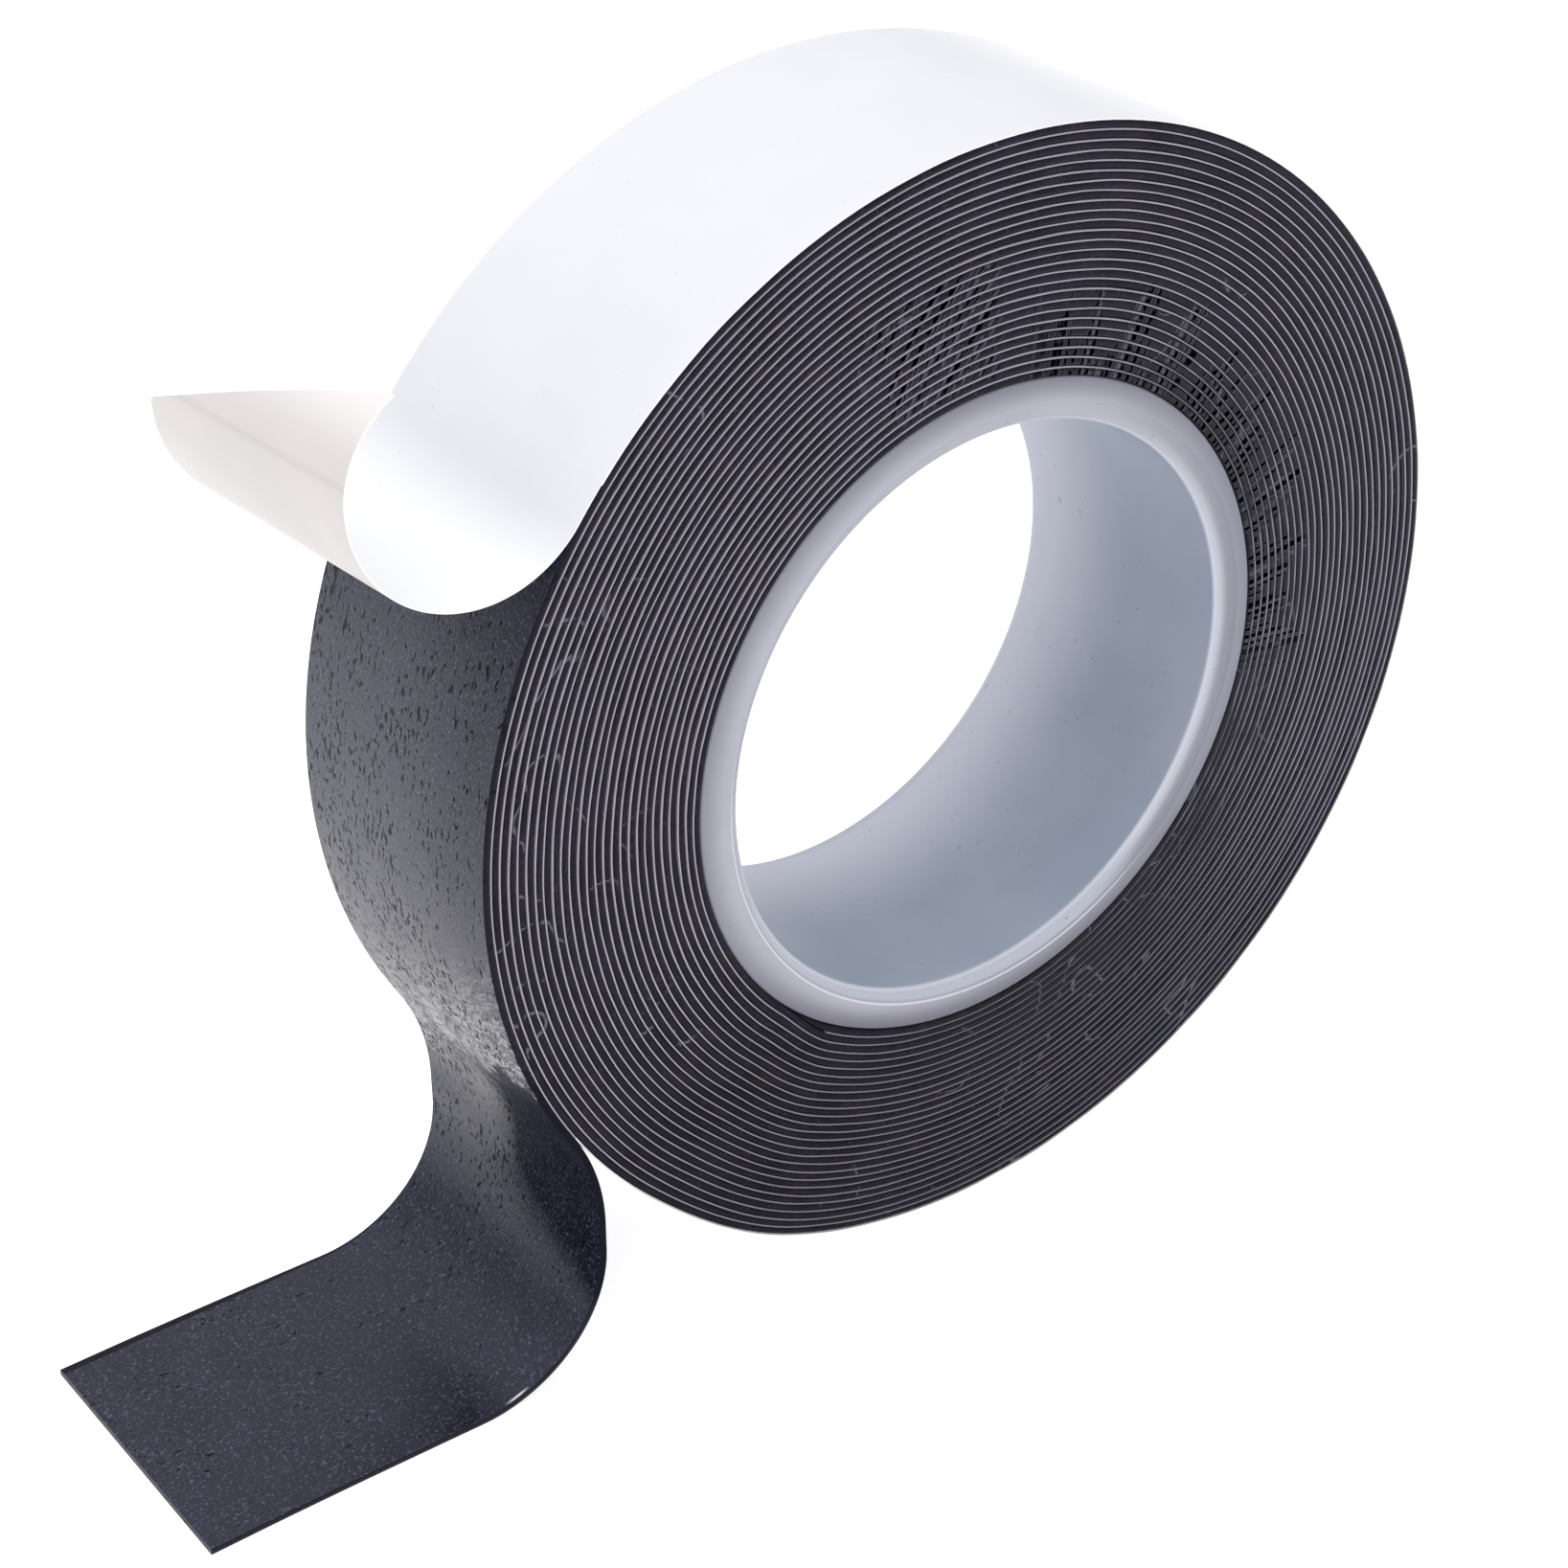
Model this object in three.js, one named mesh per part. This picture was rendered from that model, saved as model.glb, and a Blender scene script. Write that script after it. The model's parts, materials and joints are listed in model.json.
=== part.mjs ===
// A roll of rubber tape with a release liner between its turns, standing on its rim.
// The free end of the tape drops to the table and lies flat on it.
// The free end of the liner leaves the roll further back and curls away from it.
//
// Millimetres. +X is to the right, +Y runs back along the roll's axis and +Z is up.
// Seen from the front (-Y) side the strip winds outward anticlockwise.

import * as THREE from "three";

// The strip: rubber tape with its liner on the outside.
const TAPE_WIDTH = 19;
const TAPE_THICKNESS = 0.45;
const LINER_THICKNESS = 0.09;
const LAYER_GAP = 0.012;

// The core, a moulded plastic ring. Its near face is level with the tape's edge and falls away
// in a shallow bevel to the bore. Its far face is set in from the tape's edge.
const BORE_RADIUS = 18.5;
const CORE_OUTER_RADIUS = 21.3;
const CORE_FAR_FACE = 8.6;
const RIM_CHAMFER = 0.15;
const BEVEL_WIDTH = 1.05;
const BEVEL_DEPTH = 0.25;
const BORE_CHAMFER = 0.15;
const FAR_LIP_RADIUS = 0.4;
const FAR_LIP_STEPS = 3;
const CORE_SEGMENTS = 54;

// The winding. The tape leaves the roll at TAPE_END_ANGLE, measured from +X towards +Z.
// The liner has left it EXPOSED_SEGMENTS earlier, so that stretch of tape is bare.
const SEGMENTS_PER_TURN = 27;
const WOUND_SEGMENTS = 699;
const EXPOSED_SEGMENTS = 5;
const TURN_PITCH = 0.57;
const TAPE_END_ANGLE = 210;
const PACK_INNER_RADIUS = CORE_OUTER_RADIUS + 0.02;
const SEGMENT_ANGLE = 360 / SEGMENTS_PER_TURN;

// The outer turns sit a little off the core's centre, shared out over the pack.
const PACK_DRIFT = new THREE.Vector2(0.018, 0.0116);

// The free ends. Each run is a straight length or an arc, and a negative turn is clockwise.
const TAIL_BEND_TURN = -90;
const TAIL_BEND_RADIUS = 9.15;
const TAIL_LEAVING_TURN = -30;
const TAIL_LEAVING_RADIUS = 14.5;
const FLAT_END_LENGTH = 17.6;
const PEEL_RUNS = [
  { radius: 6.3, turn: -53.3, steps: 6 },
  { radius: 8.2, turn: -40, steps: 4 },
];
const TIP_RUNS = [{ radius: 8.2, turn: -50, steps: 5 }];
const TIP_CUT_RUN = { radius: 5.8, turn: -64, steps: 7 };
const TIP_END_WIDTH = 0.8;

// Each free end bends on lines that run straight across it, with this much room along the strip.
const TAPE_HINGE_GAP = 0.5;
const LINER_HINGE_GAP = 0.2;

const HALF_WIDTH = TAPE_WIDTH / 2;
const LINER_DEPTH = TAPE_THICKNESS + LAYER_GAP;

const radians = THREE.MathUtils.degToRad;

function direction(degrees) {
  return new THREE.Vector2(Math.cos(radians(degrees)), Math.sin(radians(degrees)));
}

// How many layers lie under the strip. A turn keeps its radius until it climbs over the strip's
// own start, in two segments, so the whole pack steps up along one radius.
function layersBelow(index) {
  const turn = Math.floor(index / SEGMENTS_PER_TURN);
  const climbing = index % SEGMENTS_PER_TURN === SEGMENTS_PER_TURN - 1;
  return climbing ? turn + 0.5 : turn;
}

// A point in the X-Z plane on the winding, `depth` outside the inner face of the tape.
// The facets are drawn round the true winding, so their middles lie on it.
function packPoint(index, depth) {
  const trueRadius = PACK_INNER_RADIUS + TURN_PITCH * layersBelow(index) + depth;
  const radius = trueRadius / Math.cos(radians(SEGMENT_ANGLE / 2));
  const point = direction(packAngle(index)).multiplyScalar(radius);
  return point.addScaledVector(PACK_DRIFT, trueRadius - PACK_INNER_RADIUS);
}

function packAngle(index) {
  return TAPE_END_ANGLE + (index - WOUND_SEGMENTS) * SEGMENT_ANGLE;
}

// A station is one cross-section of a strip: its inner and outer face, and its two edges.
function woundStations(lastIndex, depth, thickness) {
  const stations = [];
  for (let index = 0; index <= lastIndex; index += 1) {
    stations.push({
      inner: packPoint(index, depth),
      outer: packPoint(index, depth + thickness),
      near: -HALF_WIDTH,
      far: HALF_WIDTH,
    });
  }
  return stations;
}

// Follows runs from a point on the inner face, and gives the points and headings on the way.
function followRuns(start, startHeading, runs) {
  const marks = [{ point: start.clone(), heading: startHeading }];
  for (const run of runs) {
    const turnStep = (run.turn ?? 0) / run.steps;
    const stepLength = run.turn
      ? 2 * run.radius * Math.abs(Math.sin(radians(turnStep / 2)))
      : run.length / run.steps;
    for (let step = 0; step < run.steps; step += 1) {
      const last = marks[marks.length - 1];
      const chord = direction(last.heading + turnStep / 2).multiplyScalar(stepLength);
      marks.push({ point: last.point.clone().add(chord), heading: last.heading + turnStep });
    }
  }
  return marks;
}

function marksToStations(marks, thickness) {
  return marks.map((mark) => ({
    inner: mark.point,
    outer: mark.point.clone().addScaledVector(direction(mark.heading - 90), thickness),
    near: -HALF_WIDTH,
    far: HALF_WIDTH,
  }));
}

// A closed strip through its stations, with four long faces and two ends.
function ribbonGeometry(stations) {
  const positions = [];
  for (const { inner, outer, near, far } of stations) {
    positions.push(inner.x, near, inner.y);
    positions.push(inner.x, far, inner.y);
    positions.push(outer.x, far, outer.y);
    positions.push(outer.x, near, outer.y);
  }
  const faces = [];
  for (let station = 0; station < stations.length - 1; station += 1) {
    for (let corner = 0; corner < 4; corner += 1) {
      const a = 4 * station + corner;
      const b = 4 * station + ((corner + 1) % 4);
      faces.push(a, a + 4, b + 4);
      faces.push(a, b + 4, b);
    }
  }
  const end = 4 * (stations.length - 1);
  faces.push(0, 1, 2, 0, 2, 3);
  faces.push(end, end + 2, end + 1, end, end + 3, end + 2);
  const geometry = new THREE.BufferGeometry();
  geometry.setAttribute("position", new THREE.Float32BufferAttribute(positions, 3));
  geometry.setIndex(faces);
  geometry.computeVertexNormals();
  return geometry;
}

// The core's section, as (radius, y) points, from the near rim round to the bore's near edge.
function coreGeometry() {
  const rim = CORE_OUTER_RADIUS - RIM_CHAMFER;
  const bevelDepth = -HALF_WIDTH + BEVEL_DEPTH;
  const lipCentre = new THREE.Vector2(
    BORE_RADIUS + FAR_LIP_RADIUS,
    CORE_FAR_FACE - FAR_LIP_RADIUS,
  );
  const farLip = [];
  for (let step = 0; step <= FAR_LIP_STEPS; step += 1) {
    const offset = direction(90 + (90 * step) / FAR_LIP_STEPS);
    farLip.push(lipCentre.clone().addScaledVector(offset, FAR_LIP_RADIUS));
  }
  const profile = [
    new THREE.Vector2(rim, -HALF_WIDTH),
    new THREE.Vector2(CORE_OUTER_RADIUS, -HALF_WIDTH + RIM_CHAMFER),
    new THREE.Vector2(CORE_OUTER_RADIUS, CORE_FAR_FACE - RIM_CHAMFER),
    new THREE.Vector2(rim, CORE_FAR_FACE),
    ...farLip,
    new THREE.Vector2(BORE_RADIUS, bevelDepth + BORE_CHAMFER),
    new THREE.Vector2(BORE_RADIUS + BORE_CHAMFER, bevelDepth),
    new THREE.Vector2(BORE_RADIUS + BORE_CHAMFER + BEVEL_WIDTH, -HALF_WIDTH),
  ];
  profile.push(profile[0].clone());
  return new THREE.LatheGeometry(profile, CORE_SEGMENTS);
}

function material(colour, roughness) {
  return new THREE.MeshStandardMaterial({ color: colour, roughness, metalness: 0 });
}

function addPart(group, name, geometry, partMaterial) {
  const mesh = new THREE.Mesh(geometry, partMaterial);
  mesh.name = name;
  group.add(mesh);
}

// The wound strip.
const tapeStations = woundStations(WOUND_SEGMENTS, 0, TAPE_THICKNESS);
const linerStations = woundStations(
  WOUND_SEGMENTS - EXPOSED_SEGMENTS,
  LINER_DEPTH,
  LINER_THICKNESS,
);
const tableLevel = Math.min(...linerStations.map((station) => station.outer.y));

// The tape's free end: off the roll, round the bend and flat along the table.
const tailHeading = TAPE_END_ANGLE + 90;
const tailStart = packPoint(WOUND_SEGMENTS, 0).addScaledVector(
  direction(tailHeading),
  TAPE_HINGE_GAP,
);
const leavingDrop = TAIL_LEAVING_RADIUS * Math.sin(radians(-TAIL_LEAVING_TURN));
const straightDrop = tailStart.y - tableLevel - leavingDrop - TAIL_BEND_RADIUS;
const dropMarks = followRuns(tailStart, tailHeading, [
  { radius: TAIL_LEAVING_RADIUS, turn: TAIL_LEAVING_TURN, steps: 5 },
  { length: straightDrop, steps: 1 },
  { radius: TAIL_BEND_RADIUS, turn: TAIL_BEND_TURN, steps: 12 },
]);
const dropEnd = dropMarks[dropMarks.length - 1];
const flatStart = dropEnd.point.clone().addScaledVector(direction(180), TAPE_HINGE_GAP);
const flatMarks = followRuns(flatStart, 180, [{ length: FLAT_END_LENGTH, steps: 3 }]);

// The liner's free end: peeled off the tape, then a curl that ends in a slanting cut.
const peelHeading = packAngle(WOUND_SEGMENTS - EXPOSED_SEGMENTS) + 90;
const peelStart = packPoint(WOUND_SEGMENTS - EXPOSED_SEGMENTS, LINER_DEPTH).addScaledVector(
  direction(peelHeading),
  LINER_HINGE_GAP,
);
const peelMarks = followRuns(peelStart, peelHeading, PEEL_RUNS);
const peelEnd = peelMarks[peelMarks.length - 1];
const tipStart = peelEnd.point
  .clone()
  .addScaledVector(direction(peelEnd.heading), LINER_HINGE_GAP);
const tipMarks = followRuns(tipStart, peelEnd.heading, [...TIP_RUNS, TIP_CUT_RUN]);
const tipStations = marksToStations(tipMarks, LINER_THICKNESS);
tipStations.slice(-TIP_CUT_RUN.steps).forEach((station, step) => {
  const cutWidth = (TAPE_WIDTH - TIP_END_WIDTH) * ((step + 1) / TIP_CUT_RUN.steps);
  station.far = HALF_WIDTH - cutWidth;
});

const corePlastic = material(0xdfe3e8, 0.45);
const rubber = material(0x2c2d33, 0.75);
const linerFilm = material(0xf3f3f7, 0.4);

const roll = new THREE.Group();
addPart(roll, "core", coreGeometry(), corePlastic);
addPart(roll, "wound_tape", ribbonGeometry(tapeStations), rubber.clone());
addPart(roll, "wound_liner", ribbonGeometry(linerStations), linerFilm.clone());
addPart(
  roll,
  "tape_drop",
  ribbonGeometry(marksToStations(dropMarks, TAPE_THICKNESS)),
  rubber.clone(),
);
addPart(
  roll,
  "tape_flat_end",
  ribbonGeometry(marksToStations(flatMarks, TAPE_THICKNESS)),
  rubber.clone(),
);
addPart(
  roll,
  "liner_peel",
  ribbonGeometry(marksToStations(peelMarks, LINER_THICKNESS)),
  linerFilm.clone(),
);
addPart(roll, "liner_tip", ribbonGeometry(tipStations), linerFilm.clone());

// The origin is on the table, under the middle of everything.
const bounds = new THREE.Box3().setFromObject(roll);
roll.position.set(-(bounds.min.x + bounds.max.x) / 2, 0, -bounds.min.z);

export default roll;
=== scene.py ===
"""Looks for a roll of black rubber tape with a white release liner, standing on its rim.

Metres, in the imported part's own frame: +X right, +Y back along the roll's axis, +Z up.
"""

import json
import math

import bpy
import numpy as np
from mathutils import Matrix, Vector


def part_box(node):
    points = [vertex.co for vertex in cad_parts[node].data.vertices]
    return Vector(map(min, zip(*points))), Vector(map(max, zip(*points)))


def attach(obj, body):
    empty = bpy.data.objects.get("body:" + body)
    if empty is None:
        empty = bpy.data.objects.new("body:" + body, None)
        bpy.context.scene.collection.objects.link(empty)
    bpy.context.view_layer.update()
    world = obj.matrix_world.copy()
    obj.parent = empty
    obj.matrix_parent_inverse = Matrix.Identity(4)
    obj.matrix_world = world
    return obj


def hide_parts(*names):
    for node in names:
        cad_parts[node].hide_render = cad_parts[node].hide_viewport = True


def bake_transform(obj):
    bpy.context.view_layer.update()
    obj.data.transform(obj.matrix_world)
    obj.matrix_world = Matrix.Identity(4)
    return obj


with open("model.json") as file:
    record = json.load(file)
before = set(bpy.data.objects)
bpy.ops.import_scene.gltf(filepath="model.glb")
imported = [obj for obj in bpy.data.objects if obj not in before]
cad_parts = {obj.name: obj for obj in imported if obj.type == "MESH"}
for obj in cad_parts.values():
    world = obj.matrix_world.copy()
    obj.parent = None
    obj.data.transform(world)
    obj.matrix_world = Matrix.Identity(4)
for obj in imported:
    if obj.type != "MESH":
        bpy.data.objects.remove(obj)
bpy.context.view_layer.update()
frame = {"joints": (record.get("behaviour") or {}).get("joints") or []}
joints = {joint["name"]: joint for joint in frame["joints"]}

MM = 0.001

# The strip and its winding, as the solids have them.
TAPE_THICKNESS = 0.45 * MM
LINER_THICKNESS = 0.09 * MM
LAYER_GAP = 0.012 * MM
LINER_DEPTH = TAPE_THICKNESS + LAYER_GAP
TURN_PITCH = 0.57 * MM
START_ANGLE = math.radians(236)
END_ANGLE = math.radians(210)
LAYERS = 25
TURNS = LAYERS + 1 + (END_ANGLE - START_ANGLE) / (2 * math.pi)
# Each turn climbs a step over the strip's own start. In degrees: where the step is on the first
# layer and how far it moves by the last, and half its length and how much that grows.
CLIMB_ANGLE, CLIMB_MOVES = 231, 4
CLIMB_HALF, CLIMB_GROWS = 7, 4.5
# The turns are not quite even: (waves in a turn, phase per metre of radius, height).
RIPPLES = [
    (5, 300, 0.045 * MM),
    (13, -500, 0.015 * MM),
    (29, 3100, 0.008 * MM),
    (37, -5300, 0.008 * MM),
]
RIPPLE_FADE = 1.5 * MM
# The liner leaves the roll this far ahead of the tape, so that stretch of tape is bare.
BARE_TURNS = 5 / 27
# The ends overlap the pieces that they carry on from.
END_OVERLAP = 0.01
CORE_OUTER = 21.3 * MM
BORE_RADIUS = 18.5 * MM
PACK_INNER = CORE_OUTER + 0.02 * MM
PACK_DRIFT = np.array([0.018, 0.0116])
# The tape's free end: an arc away from the roll, a straight drop, a bend to the table, a flat end.
LEAVE_RADIUS = 14.5 * MM
LEAVE_TURN = 30
BEND_RADIUS = 9.15 * MM
FLAT_END_DRIFT = 0.55 * MM
FLAT_END_DRIFT_LENGTH = 30 * MM
DOWN_AND_RIGHT, LEFTWARDS = math.radians(300), math.radians(180)
# The drop starts this far below its hinge. The strip is split this many steps past the drop's
# rightmost point.
DROP_BELOW_HINGE = 6 * MM
SPLIT_STEPS = 8
# The liner's free end: arcs as (radius, turn), the slanted cut's length and the place of a soft
# crease, which is only painted, as shade and light.
LINER_ARCS = [(7.4 * MM, -53.3), (7.8 * MM, -88), (6.2 * MM, -64)]
LINER_CUT_LENGTH = 6.4 * MM
LINER_FOLD = 20.3 * MM
LINER_TIP_WIDTH = 0.3 * MM
LINER_SPLIT = 7.5 * MM
# Its far edge sinks by this much in X and Z, over this length.
LINER_TWIST = np.array([-0.6 * MM, -0.9 * MM])
LINER_TWIST_LENGTH = 12 * MM
# The ridge on the core's near end is cut a little off centre.
RIDGE_DRIFT = 0.42
RIDGE_DRIFT_ANGLE = math.radians(8)

core_low, core_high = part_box("core")
AXIS = Vector(((core_low.x + core_high.x) / 2, 0, (core_low.z + core_high.z) / 2))
HALF_WIDTH = -core_low.y
CORE_FAR_FACE = core_high.y

# ---------------------------------------------------------------- mesh making


def new_object(name, vertices, faces, material, smooth_angle=40):
    mesh = bpy.data.meshes.new(name)
    mesh.from_pydata(vertices.tolist(), [], faces)
    mesh.validate()
    mesh.materials.append(material)
    mesh.polygons.foreach_set("use_smooth", [True] * len(mesh.polygons))
    obj = bpy.data.objects.new(name, mesh)
    bpy.context.scene.collection.objects.link(obj)
    bpy.context.view_layer.update()
    mesh.set_sharp_from_angle(angle=math.radians(smooth_angle))
    return obj


def unit(angle):
    return np.stack([np.cos(angle), np.sin(angle)], axis=-1)


def waves(values, terms):
    """A fixed sum of sines: terms are (amplitude, frequency, phase)."""
    total = np.zeros_like(values)
    for amplitude, frequency, phase in terms:
        total += amplitude * np.sin(frequency * values + phase)
    return total


def smooth_step(x):
    x = np.clip(x, 0, 1)
    return x * x * (3 - 2 * x)


def layers_below(turns):
    """How many layers lie under the strip, with a smooth step where each turn climbs."""
    angle = np.degrees(START_ANGLE + turns * 2 * math.pi)
    total = np.zeros_like(angle)
    for layer in range(1, LAYERS + 1):
        share = layer / LAYERS
        centre = 360 * layer + CLIMB_ANGLE + CLIMB_MOVES * share
        half = CLIMB_HALF + CLIMB_GROWS * share
        total += smooth_step((angle - centre + half) / (2 * half))
    return total


def winding(turns, depth):
    """Points in the X-Z plane on the winding, `depth` outside the tape's inner face."""
    angle = START_ANGLE + turns * 2 * math.pi
    radius = PACK_INNER + TURN_PITCH * layers_below(turns) + depth
    ripple = sum(
        height * np.sin(angle * count + phase * radius) for count, phase, height in RIPPLES
    )
    ripple = ripple * smooth_step((radius - PACK_INNER) / RIPPLE_FADE)
    ripple = ripple * smooth_step((PACK_INNER + TURN_PITCH * LAYERS - radius) / RIPPLE_FADE)
    points = unit(angle) * (radius + ripple)[:, None]
    points += PACK_DRIFT * (radius - PACK_INNER)[:, None]
    return points + np.array([AXIS.x, AXIS.z])


def follow(start, heading, runs, step=0.25 * MM):
    """Points and headings along a path of arcs (radius, turn) and straights (None, length)."""
    points, headings = [np.array(start)], [heading]
    for radius, amount in runs:
        length = amount if radius is None else radius * abs(math.radians(amount))
        turn = 0 if radius is None else math.radians(amount)
        count = max(1, round(length / step))
        chord = length / count if radius is None else 2 * radius * math.sin(abs(turn) / count / 2)
        for _ in range(count):
            middle = headings[-1] + turn / count / 2
            points.append(points[-1] + chord * unit(middle))
            headings.append(headings[-1] + turn / count)
    return np.array(points), np.array(headings)


def lengths_along(points):
    steps = np.linalg.norm(np.diff(points, axis=0), axis=1)
    return np.concatenate([[0], np.cumsum(steps)])


def strip_section(across, round_off, bulge=0.0):
    """A closed loop of (depth as a share of the thickness, share across, inset from that edge)."""
    near = [
        (0.0, 0.0, round_off),
        (0.10, 0.0, round_off * 0.35),
        (0.28, 0.0, round_off * 0.06 - bulge * 0.6),
        (0.5, 0.0, -bulge),
        (0.72, 0.0, round_off * 0.06 - bulge * 0.6),
        (0.90, 0.0, round_off * 0.35),
        (1.0, 0.0, round_off),
    ]
    inner = [(0.0, share, 0.0) for share in np.linspace(1, 0, across + 1)[1:-1]]
    outer = [(1.0, share, 0.0) for share in np.linspace(0, 1, across + 1)[1:-1]]
    far = [(depth, 1.0, -inset) for depth, _, inset in reversed(near)]
    return np.array(near + outer + far + inner)


def make_strip(name, points, normals, along, thickness, section, material, **options):
    """A closed strip.

    Options: near and far edges, sideways offsets and a function that lifts points.
    """
    count, loop = len(points), len(section)
    near = options.get("near", np.full(count, -HALF_WIDTH))
    far = options.get("far", np.full(count, HALF_WIDTH))
    depth = np.outer(np.broadcast_to(thickness, count), section[:, 0])
    flat = points[:, None, :] + normals[:, None, :] * depth[:, :, None]
    share = section[:, 1]
    across = near[:, None] * (1 - share) + far[:, None] * share + section[:, 2]
    if "sideways" in options:
        across = across + options["sideways"][:, None]
    if "lift" in options:
        flat = flat + options["lift"](along[:, None], across, section)
    vertices = np.empty((count, loop, 3))
    vertices[:, :, 0] = flat[:, :, 0]
    vertices[:, :, 1] = across
    vertices[:, :, 2] = flat[:, :, 1]
    faces = []
    for i in range(count - 1):
        for j in range(loop):
            a, b = i * loop + j, i * loop + (j + 1) % loop
            faces.append((a, b, b + loop, a + loop))
    faces.append(tuple(range(loop - 1, -1, -1)))
    faces.append(tuple(range((count - 1) * loop, count * loop)))
    obj = new_object(name, vertices.reshape(-1, 3), faces, material)
    strip = np.empty((count, loop, 3))
    strip[:, :, 0] = along[:, None]
    strip[:, :, 1] = across
    strip[:, :, 2] = section[:, 0]
    attribute = obj.data.attributes.new("strip", "FLOAT_VECTOR", "POINT")
    attribute.data.foreach_set("vector", strip.astype(np.float32).ravel())
    return obj


# ---------------------------------------------------------------- materials


class Shader:
    """A material's node tree, with short calls for the nodes that it uses."""

    def __init__(self, name):
        self.material = bpy.data.materials.new(name)
        self.material.use_nodes = True
        self.tree = self.material.node_tree
        self.surface = self.tree.nodes["Principled BSDF"]

    def node(self, kind, inputs=None, **settings):
        made = self.tree.nodes.new("ShaderNode" + kind)
        for key, value in settings.items():
            setattr(made, key, value)
        for key, value in (inputs or {}).items():
            self.feed(made.inputs[key], value)
        return made

    def feed(self, socket, value):
        if isinstance(value, bpy.types.NodeSocket):
            self.tree.links.new(value, socket)
        else:
            socket.default_value = value

    def set(self, **values):
        for key, value in values.items():
            socket = key.replace("_", " ").title().replace("Ior", "IOR")
            self.feed(self.surface.inputs[socket], value)

    def strip(self, scale=(1, 1, 1), offset=(0, 0, 0)):
        """The strip's own coordinates: metres along it, metres across, share of its thickness."""
        source = self.node("Attribute", attribute_name="strip").outputs["Vector"]
        return self.mapping(source, scale, offset)

    def place(self, scale=(1, 1, 1), offset=(0, 0, 0)):
        source = self.node("TexCoord").outputs["Object"]
        return self.mapping(source, scale, offset)

    def mapping(self, source, scale, offset=(0, 0, 0)):
        inputs = {"Vector": source, "Scale": scale, "Location": offset}
        return self.node("Mapping", inputs).outputs["Vector"]

    def noise(self, vector, scale=1.0, detail=3.0, roughness=0.55, distortion=0.0):
        inputs = {"Vector": vector, "Scale": scale, "Detail": detail, "Roughness": roughness}
        inputs["Distortion"] = distortion
        return self.node("TexNoise", inputs).outputs["Fac"]

    def math(self, operation, a, b=0.5, c=0.5):
        made = self.node("Math", operation=operation)
        for socket, value in zip(made.inputs, (a, b, c)):
            self.feed(socket, value)
        return made.outputs["Value"]

    def ramp(self, value, low, high, out_low=0.0, out_high=1.0):
        inputs = {"Value": value, "From Min": low, "From Max": high}
        inputs.update({"To Min": out_low, "To Max": out_high})
        return self.node("MapRange", inputs, interpolation_type="SMOOTHSTEP").outputs["Result"]

    def mix(self, factor, a, b):
        """Mix colours. The node's sockets are told apart by place: many share a name."""
        made = self.node("Mix", data_type="RGBA")
        self.feed(made.inputs[0], factor)
        self.feed(made.inputs[6], a)
        self.feed(made.inputs[7], b)
        return made.outputs[2]

    def bump(self, height, strength, distance, normal=None):
        inputs = {"Height": height, "Strength": strength, "Distance": distance}
        if normal is not None:
            inputs["Normal"] = normal
        return self.node("Bump", inputs).outputs["Normal"]

    def split(self, vector):
        return self.node("SeparateXYZ", {"Vector": vector}).outputs


def tone(red, green, blue):
    """A colour given as 0-255 display values, as linear RGBA."""
    def linear(value):
        value /= 255
        return value / 12.92 if value <= 0.04045 else ((value + 0.055) / 1.055) ** 2.4

    return (linear(red), linear(green), linear(blue), 1.0)


def on_edge(s, across, width):
    """1 on the strip's cut edges, within `width` of either edge."""
    distance = s.math("SUBTRACT", HALF_WIDTH, s.math("ABSOLUTE", across))
    return s.ramp(distance, width * 1.5, width * 0.5)


def polar(s):
    """The angle round the roll's axis and the distance from it."""
    offset = s.mapping(s.node("TexCoord").outputs["Object"], (1, 0, 1), (-AXIS.x, 0, -AXIS.z))
    x, _, z = s.split(offset)
    radius = s.node("VectorMath", {"Vector": offset}, operation="LENGTH").outputs["Value"]
    return s.math("ARCTAN2", z, x), radius


def window(s, value, low, high, soft):
    """1 between low and high, with soft sides."""
    return s.math("MULTIPLY", s.ramp(value, low - soft, low), s.ramp(value, high + soft, high))


def line_noise(s, value, scale, offset=0.0):
    inputs = {"W": s.math("MULTIPLY_ADD", value, scale, offset), "Scale": 1.0, "Detail": 1.0}
    return s.node("TexNoise", inputs, noise_dimensions="1D").outputs["Fac"]


def together(s, *masks):
    product = masks[0]
    for mask in masks[1:]:
        product = s.math("MULTIPLY", product, mask)
    return product


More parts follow.
